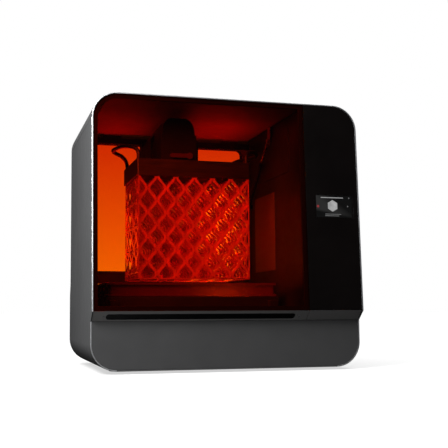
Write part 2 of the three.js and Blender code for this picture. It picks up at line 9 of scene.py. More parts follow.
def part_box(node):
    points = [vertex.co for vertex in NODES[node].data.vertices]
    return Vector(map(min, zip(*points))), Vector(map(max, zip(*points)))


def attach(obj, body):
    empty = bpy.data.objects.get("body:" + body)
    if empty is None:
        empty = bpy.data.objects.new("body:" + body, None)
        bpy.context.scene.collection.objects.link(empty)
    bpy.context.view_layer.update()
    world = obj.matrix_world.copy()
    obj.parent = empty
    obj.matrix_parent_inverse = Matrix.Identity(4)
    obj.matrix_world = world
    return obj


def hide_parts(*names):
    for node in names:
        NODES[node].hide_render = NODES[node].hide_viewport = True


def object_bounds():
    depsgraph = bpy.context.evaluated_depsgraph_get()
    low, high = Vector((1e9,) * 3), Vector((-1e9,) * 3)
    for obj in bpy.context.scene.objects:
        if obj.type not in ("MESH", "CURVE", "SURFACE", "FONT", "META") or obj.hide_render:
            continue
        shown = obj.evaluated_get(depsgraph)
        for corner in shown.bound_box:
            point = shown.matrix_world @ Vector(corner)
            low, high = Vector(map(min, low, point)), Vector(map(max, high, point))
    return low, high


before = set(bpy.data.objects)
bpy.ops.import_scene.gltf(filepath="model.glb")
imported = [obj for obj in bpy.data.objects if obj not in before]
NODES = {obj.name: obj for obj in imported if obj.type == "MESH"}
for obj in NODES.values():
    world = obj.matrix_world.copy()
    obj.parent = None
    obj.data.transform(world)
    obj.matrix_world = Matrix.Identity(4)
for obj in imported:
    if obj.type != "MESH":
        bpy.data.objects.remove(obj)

CAD_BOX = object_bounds()
MM = 0.001

# The leaning front, as the CAD has it: the front edge of the skins at the bar, and how far it leans back
# per metre. Below the bar's bottom the base stands back from it.
BAR_TOP = 0.164
BAR_BOTTOM = 0.138
FRONT_Y = CAD_BOX[0].y
LEAN = 24 / 584
BASE_Y = FRONT_Y + 0.028


def front_y(z):
    return FRONT_Y + LEAN * (z - BAR_TOP)


# ---------------------------------------------------------------- materials
class Paint:
    """A node material and the few steps its finishes are made of."""

    def __init__(self, name):
        self.mat = bpy.data.materials.new(name)
        self.mat.use_nodes = True
        self.tree = self.mat.node_tree
        self.tree.nodes.clear()
        self.out = self.node("ShaderNodeOutputMaterial")
        self.place = self.node("ShaderNodeTexCoord").outputs["Object"]

    def node(self, kind, inputs=None, **props):
        made = self.tree.nodes.new(kind)
        for key, value in props.items():
            setattr(made, key, value)
        for key, value in (inputs or {}).items():
            socket = made.inputs[key]
            if isinstance(value, bpy.types.NodeSocket):
                self.tree.links.new(value, socket)
            else:
                socket.default_value = value
        return made

    def math(self, operation, a, b=0.0, c=0.0, clamp=False):
        inputs = {0: a, 1: b, 2: c}
        return self.node("ShaderNodeMath", inputs, operation=operation, use_clamp=clamp).outputs[0]

    def noise(self, scale, detail=3.0, stretch=None):
        """Grey noise about 0.5, scale in features per metre."""
        place = self.place
        if stretch:
            place = self.node("ShaderNodeMapping", {"Vector": place, "Scale": stretch}).outputs["Vector"]
        inputs = {"Vector": place, "Scale": scale, "Detail": detail}
        return self.node("ShaderNodeTexNoise", inputs).outputs["Fac"]

    def range(self, value, low, high, out_low, out_high):
        """The value, carried from one span to another and held within it."""
        inputs = {"Value": value, "From Min": low, "From Max": high, "To Min": out_low, "To Max": out_high}
        return self.node("ShaderNodeMapRange", inputs).outputs[0]

    def uneven(self, value, middle, below, above=None):
        """A roughness that wanders about its middle with a noise."""
        return self.range(value, 0.3, 0.7, middle - below, middle + (above or below))

    def blend(self, factor, first, second):
        made = self.node("ShaderNodeMix", {0: factor}, data_type="RGBA")
        for socket, value in ((made.inputs[6], first), (made.inputs[7], second)):
            if isinstance(value, bpy.types.NodeSocket):
                self.tree.links.new(value, socket)
            else:
                socket.default_value = (*value, 1.0)
        return made.outputs[2]

    def tones(self, value, colour, spread):
        """The colour, lighter and darker by spread as value goes from 0.3 to 0.7."""
        dark = tuple(c * (1 - spread) for c in colour)
        light = tuple(c * (1 + spread) for c in colour)
        return self.blend(self.range(value, 0.3, 0.7, 0.0, 1.0), dark, light)

    def bump(self, height, distance):
        inputs = {"Height": height, "Distance": distance, "Strength": 1.0}
        return self.node("ShaderNodeBump", inputs).outputs[0]

    def principled(self, **inputs):
        names = {key: key.replace("_", " ") for key in inputs}
        return self.node("ShaderNodeBsdfPrincipled", {names[k]: v for k, v in inputs.items()}).outputs[0]

    def finish(self, shader):
        self.tree.links.new(shader, self.out.inputs["Surface"])
        return self.mat


SMEAR = 35  # patches of uneven sheen per metre


def axes(paint):
    split = paint.node("ShaderNodeSeparateXYZ", {"Vector": paint.place})
    return split.outputs["X"], split.outputs["Y"], split.outputs["Z"]


def front_depth(paint):
    """How far a point lies behind the front edge of the skins."""
    _, y, z = axes(paint)
    leaning = paint.math("MULTIPLY_ADD", z, LEAN, FRONT_Y - LEAN * BAR_TOP)
    slope = (FRONT_Y - BASE_Y) / (BAR_TOP - BAR_BOTTOM)
    undercut = paint.math("MULTIPLY_ADD", z, slope, FRONT_Y - slope * BAR_TOP)
    edge = paint.math("MINIMUM", paint.math("MAXIMUM", leaning, undercut), BASE_Y)
    return paint.math("SUBTRACT", y, edge)


def textured(name, colour, roughness=0.5, spread=0.1, grain=1100, grain_depth=0.00006, specular=0.5):
    """Moulded plastic or powder coat: cloudy tone, fine grain and uneven sheen."""
    paint = Paint(name)
    cloud = paint.noise(9, 4)
    fine = paint.noise(grain, 2)
    return paint.finish(paint.principled(
        Base_Color=paint.tones(cloud, colour, spread),
        Roughness=paint.uneven(paint.noise(SMEAR, 3), roughness, 0.05),
        Specular_IOR_Level=specular,
        Normal=paint.bump(fine, grain_depth)))


def metal(name, colour, roughness=0.3, stretch=(1, 1, 1), spread=0.12, scale=260, depth=0.00003):
    """Machined or ground metal, with its marks drawn out along an axis."""
    paint = Paint(name)
    marks = paint.noise(scale, 4, stretch)
    return paint.finish(paint.principled(
        Base_Color=paint.tones(marks, colour, spread),
        Metallic=1.0,
        Roughness=paint.uneven(marks, roughness, 0.08, 0.1),
        Normal=paint.bump(marks, depth)))


def wall_paint():
    """The chamber lining with painted light and shade: a lighter patch on the right-hand wall is painted
    light, and the wall's front is darkened as painted shade.
    """
    paint = Paint("wall_lining_painted_light")
    _, y, z = axes(paint)
    in_y = paint.math("COMPARE", y, sum(LIT_PATCH_Y) / 2, (LIT_PATCH_Y[1] - LIT_PATCH_Y[0]) / 2)
    in_z = paint.math("COMPARE", z, sum(LIT_PATCH_Z) / 2, (LIT_PATCH_Z[1] - LIT_PATCH_Z[0]) / 2)
    inside = paint.math("MULTIPLY", in_y, in_z)
    cloud = paint.noise(9, 4)
    # painted shade: near black at the wall's front, fading to the lining colour further back
    depth = paint.range(y, *SHADED_FRONT, 0.0, 1.0)
    black = paint.blend(depth, (0.004, 0.0038, 0.0038), paint.tones(cloud, (0.022, 0.019, 0.019), 0.15))
    # painted light: the lighter patch on the right-hand wall
    colour = paint.blend(inside, black, (0.16, 0.14, 0.14))
    return paint.finish(paint.principled(
        Base_Color=colour,
        Roughness=paint.uneven(paint.noise(SMEAR, 3), 0.38, 0.04),
        Specular_IOR_Level=0.18,
        Normal=paint.bump(paint.noise(700, 2), 0.0001)))


def bar_paint():
    """Grey bar whose finger slot is painted black inside, as painted shade in the recess."""
    paint = Paint("bar_grey_slot_shade")
    in_slot_shade = paint.math("GREATER_THAN", front_depth(paint), SLOT_SHADE)
    cloud = paint.noise(9, 4)
    sheen = paint.uneven(paint.noise(SMEAR, 3), 0.42, 0.05)
    grain = paint.bump(paint.noise(1100, 2), 0.00006)
    face = paint.principled(
        Base_Color=paint.tones(cloud, (0.105, 0.103, 0.102), 0.05),
        Roughness=sheen,
        Specular_IOR_Level=0.4,
        Normal=grain)
    # painted shade: the inside of the finger slot
    slot = paint.principled(
        Base_Color=paint.tones(cloud, (0.002, 0.002, 0.002), 0.15),
        Roughness=sheen,
        Specular_IOR_Level=0.05,
        Normal=grain)
    return paint.finish(paint.node("ShaderNodeMixShader", {0: in_slot_shade, 1: face, 2: slot}).outputs[0])


def tank_paint():
    """Dark red clear plastic above a black foot."""
    paint = Paint("tank_plastic")
    z = axes(paint)[2]
    cloud = paint.noise(14, 4)
    wall = paint.math("GREATER_THAN", z, TANK_FOOT)
    return paint.finish(paint.principled(
        Base_Color=paint.blend(wall, FOOT_BLACK, paint.tones(cloud, TANK_RED, 0.15)),
        Roughness=paint.uneven(paint.noise(SMEAR, 3), 0.25, 0.05),
        Specular_IOR_Level=0.24,
        Normal=paint.bump(paint.noise(900, 2), 0.00004)))


def skin_paint():
    """Powder-coated sheet whose front edge is bare polished metal."""
    paint = Paint("skin_powder_coat")
    cloud = paint.noise(6, 4)
    fine = paint.noise(1300, 2)
    coated = paint.principled(
        Base_Color=paint.tones(cloud, SKIN_GREY, 0.07),
        Roughness=paint.uneven(paint.noise(30, 3), 0.51, 0.05),
        Specular_IOR_Level=0.3,
        Normal=paint.bump(fine, 0.00005))
    brushed = paint.noise(500, 3, (1, 0.1, 1))
    bare = paint.principled(
        Base_Color=paint.tones(brushed, (0.74, 0.75, 0.77), 0.05),
        Metallic=1.0,
        Roughness=paint.uneven(brushed, 0.41, 0.05))
    z = axes(paint)[2]
    undercut = paint.math("COMPARE", z, (BAR_TOP + BAR_BOTTOM) / 2, (BAR_TOP - BAR_BOTTOM) / 2)
    near = paint.math("LESS_THAN", front_depth(paint), RIM_DEPTH)
    rim = paint.math("SUBTRACT", near, undercut, clamp=True)
    mixed = paint.node("ShaderNodeMixShader", {0: rim, 1: coated, 2: bare}).outputs[0]
    return paint.finish(mixed)


def tinted_plate(name, tint, top_tint=None, z_span=None):
    """A tinted acrylic face: what is behind shows through its colour, under a clear reflection."""
    paint = Paint(name)
    colour = (*tint, 1.0)
    if top_tint:
        colour = paint.blend(paint.range(axes(paint)[2], *z_span, 0.0, 1.0), tint, top_tint)
    clear = paint.node("ShaderNodeBsdfTransparent", {"Color": colour}).outputs[0]
    wiped = paint.noise(14, 4, (1, 1, 0.5))
    gloss = paint.node("ShaderNodeBsdfGlossy", {
        "Color": (1, 1, 1, 1), "Roughness": paint.range(wiped, 0.35, 0.7, 0.01, 0.05)}).outputs[0]
    facing = paint.node("ShaderNodeLayerWeight", {"Blend": 0.5}).outputs["Facing"]
    mirror = paint.math("MULTIPLY_ADD", paint.math("POWER", facing, 5.0), GRAZING_MIRROR, MIRROR)
    return paint.finish(paint.node("ShaderNodeMixShader", {0: mirror, 1: clear, 2: gloss}).outputs[0])


def resin_paint():
    """Cured resin, glossy and slightly clear, lit through its thin walls."""
    paint = Paint("printed_resin")
    cloud = paint.noise(40, 3)
    layers = paint.noise(60, 2, (1, 1, 12))
    body = paint.principled(
        Base_Color=paint.tones(cloud, RESIN, 0.12),
        Roughness=paint.uneven(layers, 0.23, 0.07),
        Specular_IOR_Level=1.0,
        Coat_Weight=0.5,
        Coat_Roughness=0.12,
        Normal=paint.bump(layers, 0.0004))
    through = paint.node("ShaderNodeBsdfTranslucent", {
        "Color": paint.tones(cloud, RESIN_THROUGH, 0.15)}).outputs[0]
    return paint.finish(paint.node("ShaderNodeMixShader", {0: 0.55, 1: body, 2: through}).outputs[0])


MIRROR, GRAZING_MIRROR = 0.022, 0.5  # share of a tinted face that reflects, seen square on and at a graze
TANK_FOOT = 0.2
TANK_RED, FOOT_BLACK = (0.055, 0.005, 0.003), (0.004, 0.0035, 0.0035)
# depth behind the front edge past which the bar's finger slot is painted black, as painted shade
SLOT_SHADE = 0.005
SHADED_FRONT = (-0.2, -0.06)  # over this span of y the painted shade at the wall's front fades into its lining colour
# span of the patch on the right-hand wall that is painted lighter, as painted light falling through the rear
# window
LIT_PATCH_Y, LIT_PATCH_Z = (-0.012, 0.165), (0.288, 0.528)
SKIN_GREY = (0.071, 0.0715, 0.073)
RIM_DEPTH = 0.0016
RESIN = (0.80, 0.27, 0.025)
RESIN_THROUGH = (0.95, 0.24, 0.012)

SKIN = skin_paint()
GREY = textured("front_grey", (0.055, 0.055, 0.056), 0.5, 0.06, specular=0.35)
REAR_GREY = textured("rear_grey", (0.060, 0.060, 0.061), 0.55, 0.08, grain=900)
BAR_GREY = bar_paint()
GLOSS = textured("gloss_black", (0.0034, 0.0025, 0.0024), 0.12, 0.2, grain=60, grain_depth=0.00001)
ARM_BLACK = textured("arm_black", (0.0028, 0.0026, 0.0026), 0.55, 0.15, specular=0.3)
BORDER_BLACK = textured("border_black", (0.004, 0.0035, 0.0035), 0.6, 0.15, specular=0.12)
CHAMBER_BLACK = textured("chamber_black", (0.005, 0.0045, 0.0045), 0.5, 0.15)
BLACK = textured("moulded_black", (0.012, 0.011, 0.011), 0.48, 0.15)
WALL = wall_paint()
LINING = textured("chamber_lining", (0.03, 0.028, 0.028), 0.42, 0.15, grain=700, grain_depth=0.0001)
CEILING = textured(
    "ceiling_lining", (0.05, 0.046, 0.046), 0.7, 0.12, grain=700, grain_depth=0.0001, specular=0.05)
TANK = tank_paint()
FRONT_TINT = tinted_plate("front_window_tint", (0.975, 0.42, 0.06))
REAR_TINT = tinted_plate("rear_window_tint", (0.995, 0.86, 0.30), (0.83, 0.36, 0.28), (0.26, 0.72))
FILM = textured("clear_film", (0.35, 0.25, 0.18), 0.2, 0.06, grain=400)
RESIN_MAT = resin_paint()
LEVER = textured("lever_orange", (0.055, 0.008, 0.005), 0.4, 0.1)
STEEL = metal("ground_steel", (0.56, 0.57, 0.58), 0.25, (0.08, 1, 1))
ALLOY = metal("anodised_alloy", (0.30, 0.30, 0.31), 0.42, (0.1, 1, 1))
PLATE = metal("platform_alloy", (0.08, 0.078, 0.078), 0.5, (0.06, 1, 1))
BOARD = textured("circuit_board", (0.012, 0.09, 0.03), 0.45, 0.2, grain=500)
RUBBER = textured("rubber", (0.012, 0.012, 0.012), 0.85, 0.2, grain=700, grain_depth=0.0002)

FINISHES = [
    (SKIN, ["left_side_panel", "right_side_panel", "hood_skin"]),
    (GREY, ["base_front_panel"]),
    (BAR_GREY, ["column_bar", "handle_bar"]),
    (REAR_GREY, ["bottom_pan", "column_rear_panel", "rear_upper_frame", "rear_lower_cover"]),
    (GLOSS, ["column_front_panel", "touchscreen"]),
    (BLACK, ["cartridge_bay", "power_inlet", "switch_housing", "fan_frame", "fan_rotor", "rocker_switch",
             "resin_cartridge_left", "resin_cartridge_right", "gas_strut_cylinder", "platform_handle_left",
             "platform_handle_right", "laser_unit_front", "laser_unit_rear"]),
    (BORDER_BLACK, ["hood_frame"]),
    (CHAMBER_BLACK, ["z_tower", "chamber_deck"]),
    (ARM_BLACK, ["carriage_arm", "arm_cover"]),
    (WALL, ["column_inner_wall"]),
    (LINING, ["left_inner_wall"]),
    (CEILING, ["hood_liner", "hinge_bracket_left", "hinge_bracket_right"]),
    (TANK, ["resin_tank"]),
    (FRONT_TINT, ["front_window"]),
    (REAR_TINT, ["rear_window"]),
    (FILM, ["tank_film"]),
    (RESIN_MAT, ["printed_lattice"]),
    (LEVER, ["platform_lock_lever"]),
    (STEEL, ["gas_strut_rod", "lead_screw", "light_rod_front", "light_rod_rear", "film_roller"]),
    (ALLOY, ["z_motor", "drive_motor", "power_supply", "light_carriage", "tank_mixer", "idler_pulley",
             "drive_pulley"]),
    (PLATE, ["build_platform"]),
    (BOARD, ["main_board"]),
    (RUBBER, ["drive_belt", "foot_front_left", "foot_front_right", "foot_rear_left", "foot_rear_right"]),
]
for finish, names in FINISHES:
    for name in names:
        NODES[name].data.materials.clear()
        NODES[name].data.materials.append(finish)


# ---------------------------------------------------------------- edges of the CAD nodes
def sharp_edges_group(angle):
    """Geometry nodes that shade smooth, except across edges steeper than an angle."""
    group = bpy.data.node_groups.new("smooth_by_angle", "GeometryNodeTree")
    group.interface.new_socket("Geometry", in_out="INPUT", socket_type="NodeSocketGeometry")
    group.interface.new_socket("Geometry", in_out="OUTPUT", socket_type="NodeSocketGeometry")
    nodes, links = group.nodes, group.links
    start, end = nodes.new("NodeGroupInput"), nodes.new("NodeGroupOutput")
    edge_angle = nodes.new("GeometryNodeInputMeshEdgeAngle")
    compare = nodes.new("FunctionNodeCompare")
    compare.operation = "LESS_EQUAL"
    compare.inputs[1].default_value = angle
    faces = nodes.new("GeometryNodeSetShadeSmooth")
    faces.domain = "FACE"
    edges = nodes.new("GeometryNodeSetShadeSmooth")
    edges.domain = "EDGE"
    links.new(edge_angle.outputs["Unsigned Angle"], compare.inputs[0])
    links.new(start.outputs[0], faces.inputs["Geometry"])
    links.new(faces.outputs[0], edges.inputs["Geometry"])
    links.new(compare.outputs[0], edges.inputs["Shade Smooth"])
    links.new(edges.outputs[0], end.inputs[0])
    return group


SHARP_ANGLE = math.radians(38)
SMOOTH = sharp_edges_group(SHARP_ANGLE)


def soften(obj, width):
    """Welds, rounds and shades the edges of a mesh by modifiers alone."""
    weld = obj.modifiers.new("weld", "WELD")
    weld.merge_threshold = 0.00002
    if width:
        bevel = obj.modifiers.new("bevel", "BEVEL")
        bevel.width = width
        bevel.segments = 2
        bevel.limit_method = "ANGLE"
        bevel.angle_limit = SHARP_ANGLE
    shade = obj.modifiers.new("shade", "NODES")
    shade.node_group = SMOOTH
    if width:
        flat = obj.modifiers.new("flat", "WEIGHTED_NORMAL")
        flat.keep_sharp = True


BEVELS = {
    "left_side_panel": 0.8, "right_side_panel": 0.8, "hood_skin": 0.8, "base_front_panel": 0.8,
    "column_bar": 3.0, "handle_bar": 3.0, "column_front_panel": 0.8, "touchscreen": 0.8,
    "front_window": 0, "hood_frame": 0.8, "rear_window": 0, "build_platform": 0.8,
    "carriage_arm": 1.5, "arm_cover": 1.0, "resin_tank": 1.2, "chamber_deck": 1.2,
    "column_inner_wall": 0.8, "hood_liner": 0.8, "platform_lock_lever": 1.2, "resin_cartridge_left": 1.2,
    "resin_cartridge_right": 1.2, "rear_lower_cover": 0.5, "rear_upper_frame": 0.6, "column_rear_panel": 0.6,
}
PLAIN_BEVEL = 0.4
for name, obj in NODES.items():
    soften(obj, BEVELS.get(name, PLAIN_BEVEL) * MM)


# ---------------------------------------------------------------- making pieces
def piece(name, bm, material, body):
    """A mesh object from a bmesh, in the shared frame, riding on a body."""
    mesh = bpy.data.meshes.new(name)
    bm.to_mesh(mesh)
    bm.free()
    mesh.materials.append(material)
    obj = bpy.data.objects.new(name, mesh)
    bpy.context.scene.collection.objects.link(obj)
    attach(obj, body)
    return obj


def walled(bm, front, back):
    """A closed solid between two outlines of equal count, the front one given face out."""
    bm.faces.new(front)
    bm.faces.new(back[::-1])
    for k in range(len(front)):
        n = (k + 1) % len(front)
        bm.faces.new((front[n], front[k], back[k], back[n]))


# ---------------------------------------------------------------- the lattice print
CELL_HALF_WIDTH = 0.0275
CELL_HALF_HEIGHT = 0.035
LAYERS = 6
LENS_STEPS = 7
RIB = 0.0032
OPEN_WIDTH, OPEN_HEIGHT = 0.76, 0.9  # share of a cell that is open
WALL_RING = 12
WALL_OPEN_DEPTH, WALL_OPEN_HEIGHT = 0.36, 0.38  # half of an opening in a wavy wall, as a share of its cell


def lens_points(steps):
    """The outline of one cell, as fractions of its half width and half height."""
    points = []
    for side in (-1, 1):
        for k in range(steps):
            t = side * (1 - 2 * k / steps)
            points.append((side * (1 + math.cos(math.pi * t)) / 2, t))
    return points


def band(bm, outer, inner):
    """A ring of faces between two closed outlines of equal count."""
    for k in range(len(outer)):
        n = (k + 1) % len(outer)
        bm.faces.new((outer[k], outer[n], inner[n], inner[k]))


def lens_sheet(bm, place, u_span, v_span, v_top, half_width):
    """One sheet of staggered lens openings; place turns sheet coordinates into the frame."""
    outline = lens_points(LENS_STEPS)
    columns = math.ceil((u_span[1] - u_span[0]) / half_width) + 1
    rows = math.ceil((v_span[1] - v_span[0]) / (2 * CELL_HALF_HEIGHT)) + 2
    for column in range(-1, columns):
        for row in range(rows):
            u = u_span[0] + half_width * column
            v = v_top - CELL_HALF_HEIGHT * (2 * row + (column + 1) % 2)
            wide, tall = half_width, CELL_HALF_HEIGHT
            outer = [bm.verts.new(place(u + a * wide, v + b * tall)) for a, b in outline]
            wide, tall = wide * OPEN_WIDTH, tall * OPEN_HEIGHT
            inner = [bm.verts.new(place(u + a * wide, v + b * tall)) for a, b in outline]
            band(bm, outer, inner)


def trim(bm, low, high):
    """Cuts away what lies outside a box."""
    for axis in range(3):
        for limit, sign in ((low[axis], -1), (high[axis], 1)):
            normal = [0, 0, 0]
            normal[axis] = sign
            point = [0, 0, 0]
            point[axis] = limit
            bmesh.ops.bisect_plane(
                bm, geom=bm.verts[:] + bm.edges[:] + bm.faces[:], dist=1e-6, plane_co=point, plane_no=normal,
                clear_outer=True)


def beam(bm, low, high):
    """A straight square rib between two corners of a box."""
    size = Vector(high) - Vector(low)
    middle = (Vector(high) + Vector(low)) / 2
    bmesh.ops.create_cube(bm, size=1, matrix=Matrix.Translation(middle) @ Matrix.Diagonal((*size, 1)))


def lattice_frame():
    """Straight ribs along the block's upright edges and round its bottom."""
    low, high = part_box("printed_lattice")
    bm = bmesh.new()
    x_ends = ((low.x, low.x + RIB), (high.x - RIB, high.x))
    y_ends = ((low.y, low.y + RIB), (high.y - RIB, high.y))
    for x0, x1 in x_ends:
        for y0, y1 in y_ends:
            beam(bm, (x0, y0, low.z + RIB), (x1, y1, high.z))
    for y0, y1 in y_ends:
        beam(bm, (low.x, y0, low.z), (high.x, y1, low.z + RIB))
    for x0, x1 in x_ends:
        beam(bm, (x0, low.y + RIB, low.z), (x1, high.y - RIB, low.z + RIB))
    made = piece("lattice_frame", bm, RESIN_MAT, "z_carriage")
    soften(made, 0.0006)
    return made


def lattice():
    low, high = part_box("printed_lattice")
    v_span = (low.z, high.z)
    v_top = high.z - 0.001
    depth = (high.y - low.y - RIB) / LAYERS
    bm = bmesh.new()
    # A sheet of openings on each side of every layer of cells, and one across each end of the block.
    for layer in range(LAYERS + 1):
        y = low.y + RIB / 2 + layer * depth
        lens_sheet(bm, lambda u, v, y=y: (u, y, v), (low.x, high.x), v_span, v_top, CELL_HALF_WIDTH)
    for x in (low.x + RIB / 2, high.x - RIB / 2):
        lens_sheet(bm, lambda u, v, x=x: (x, u, v), (low.y, high.y), v_span, v_top, depth)
    # Wavy walls between the columns of cells, with an opening between two sheets.
    columns = round((high.x - low.x) / CELL_HALF_WIDTH)
    rows = math.ceil((v_span[1] - v_span[0]) / CELL_HALF_HEIGHT) + 1
    for column in range(columns + 2):
        swing = -1 if column % 2 else 1

        def wall_x(v, column=column, swing=swing):
            wave = math.cos(math.pi * (v - v_top) / CELL_HALF_HEIGHT)
            return low.x + CELL_HALF_WIDTH * (column - 0.5 + swing * wave / 2)

        for layer in range(LAYERS):
            y = low.y + RIB / 2 + (layer + 0.5) * depth
            for row in range(rows):
                v = v_top - CELL_HALF_HEIGHT * (row + 0.5)
                outer, inner = [], []
                for k in range(WALL_RING):
                    angle = 2 * math.pi * k / WALL_RING + math.pi / 4
                    ca, sa = math.cos(angle), math.sin(angle)
                    reach = 1 / max(abs(ca), abs(sa))
                    du, dv = ca * reach * depth / 2, sa * reach * CELL_HALF_HEIGHT / 2
                    outer.append(bm.verts.new((wall_x(v + dv), y + du, v + dv)))
                    du, dv = ca * depth * WALL_OPEN_DEPTH, sa * CELL_HALF_HEIGHT * WALL_OPEN_HEIGHT
                    inner.append(bm.verts.new((wall_x(v + dv), y + du, v + dv)))
                band(bm, outer, inner)
    bmesh.ops.remove_doubles(bm, verts=bm.verts[:], dist=0.00005)
    rise = RIB / 2 + 0.0001
    inset = Vector((rise / 2, rise / 2, rise))
    trim(bm, low + inset, high - inset)
    bmesh.ops.recalc_face_normals(bm, faces=bm.faces[:])
    made = piece("lattice_print", bm, RESIN_MAT, "z_carriage")
    thick = made.modifiers.new("thickness", "SOLIDIFY")
    thick.thickness = RIB
    thick.offset = 0
    return made


print_piece = lattice()
lattice_frame()
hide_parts("printed_lattice")


# ---------------------------------------------------------------- casting that carries the arm
def arm_casting():
    """The broad back of the arm, chamfered at the top, behind the narrower front."""
    low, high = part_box("carriage_arm")
    left, right = low.x - 6 * MM, high.x + 40 * MM
    y0, y1 = low.y + 126 * MM, high.y - 30 * MM
    bottom, top, chamfer = low.z + 0.2 * MM, high.z + 28 * MM, 16 * MM
    outline = [(left, bottom), (right, bottom), (right, top - chamfer), (right - chamfer, top),
               (left + chamfer, top), (left, top - chamfer)]
    bm = bmesh.new()
    front = [bm.verts.new((x, y0, z)) for x, z in outline]
    back = [bm.verts.new((x, y1, z)) for x, z in outline]
    walled(bm, front, back)
    bmesh.ops.recalc_face_normals(bm, faces=bm.faces[:])
    soften(piece("arm_casting", bm, CHAMBER_BLACK, "z_carriage"), 1.5 * MM)


arm_casting()


# ---------------------------------------------------------------- screws beside the handle slot
LATHE_STEPS = 20
# Radius and height in millimetres, from the bottom of the socket to the back of the head.
SCREW_HEAD = [(0, -0.4), (1.6, -0.4), (1.6, 0.7), (2.6, 0.7), (3.2, 0.3), (3.2, -1.5), (0, -1.5)]
SCREW_INSET_LEFT, SCREW_INSET_RIGHT = 28.7 * MM, 25.2 * MM


def lathe(bm, profile, turn):
    """A closed solid of revolution from (radius, height) pairs that start and end on the axis."""
    steps = LATHE_STEPS
    rings = []
    for radius, height in profile:
        if radius == 0:
            rings.append([bm.verts.new(turn @ Vector((0, 0, height)))])
            continue
        rings.append([bm.verts.new(turn @ Vector((radius * math.cos(a), radius * math.sin(a), height)))
                      for a in (2 * math.pi * k / steps for k in range(steps))])
    for lower, upper in zip(rings, rings[1:]):
        for k in range(steps):
            n = (k + 1) % steps
            corners = [lower[k % len(lower)], lower[n % len(lower)],
                       upper[n % len(upper)], upper[k % len(upper)]]
            bm.faces.new(list(dict.fromkeys(corners)))


def bar_screws():
    """Socket screws in the underside of the bar, one beyond each end of the handle slot."""
    low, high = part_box("handle_bar")
    under = Vector((0, BAR_BOTTOM - BAR_TOP, FRONT_Y - BASE_Y)).normalized()
    across = Vector((1, 0, 0))
    turn = Matrix((across, under.cross(across), under)).transposed().to_4x4()
    z = (BAR_TOP + BAR_BOTTOM) / 2 - 1.5 * MM
    y = FRONT_Y + (BASE_Y - FRONT_Y) * (BAR_TOP - z) / (BAR_TOP - BAR_BOTTOM) + 1 * MM
    bm = bmesh.new()
    for x in (low.x + SCREW_INSET_LEFT, high.x - SCREW_INSET_RIGHT):
        place = Matrix.Translation((x, y, z)) @ turn
        lathe(bm, [(r * MM, h * MM) for r, h in reversed(SCREW_HEAD)], place)
    bmesh.ops.recalc_face_normals(bm, faces=bm.faces[:])
    soften(piece("bar_screws", bm, STEEL, "hood"), 0)


bar_screws()


# ---------------------------------------------------------------- the touchscreen's display
PAGE_THICKNESS = 0.12 * MM
PAGE_SINK = 1.04 * MM   # how far the lit marks lie behind the front edge of the skins
MARK_RISE = 0.04 * MM   # how far the marks stand before the page


def slab(bm, points, sink):
    """A thin plate of an outline in x and z, at a depth behind the leaning front."""
    front = [bm.verts.new((x, front_y(z) + sink, z)) for x, z in points]
    back = [bm.verts.new((x, front_y(z) + sink + PAGE_THICKNESS, z)) for x, z in points]
    walled(bm, front, back)


def rectangle(x, z, width, height):
    return [(x - width / 2, z - height / 2), (x + width / 2, z - height / 2),
            (x + width / 2, z + height / 2), (x - width / 2, z + height / 2)]


def ring_points(x, z, radius, sides, start=0.0):
    angles = [start + 2 * math.pi * k / sides for k in range(sides)]
    return [(x + radius * math.cos(a), z + radius * math.sin(a)) for a in angles]


def lit(name, colour, strength, spread=0.2):
    """A mark on the display: faint cloudy glow under a glossy face."""
    paint = Paint(name)
    cloud = paint.noise(50, 2)
    return paint.finish(paint.principled(
        Base_Color=paint.tones(cloud, (0.02, 0.02, 0.02), 0.1),
        Roughness=0.2,
        Emission_Color=paint.tones(cloud, colour, spread),
        Emission_Strength=strength))


def page_paint(low, high):
    """The dim background of the page, with a painted glare: lighter in a slanting patch from its upper left
    corner.
    """
    paint = Paint("page_light_painted_glare")
    x, _, z = axes(paint)
    u = paint.range(x, low.x, high.x, 0.0, 1.0)
    v = paint.range(z, low.z, high.z, 0.0, 1.0)
    # painted glare: a lighter slanting patch from the upper left corner of the page
    glare_slant = paint.math("MULTIPLY_ADD", v, 0.75, u)
    near = paint.range(glare_slant, 0.72, 1.12, 1.0, 0.0)
    bottom = paint.range(paint.math("MULTIPLY_ADD", u, 0.3, v), 0.3, 0.42, 0.0, 1.0)
    return paint.finish(paint.principled(
        Base_Color=paint.tones(paint.noise(60, 2), (0.005, 0.005, 0.005), 0.2),
        Roughness=0.15,
        Emission_Color=(1.0, 0.97, 0.95, 1.0),
        Emission_Strength=paint.math("MULTIPLY_ADD", paint.math("MULTIPLY", near, bottom), 0.019, 0.0012)))


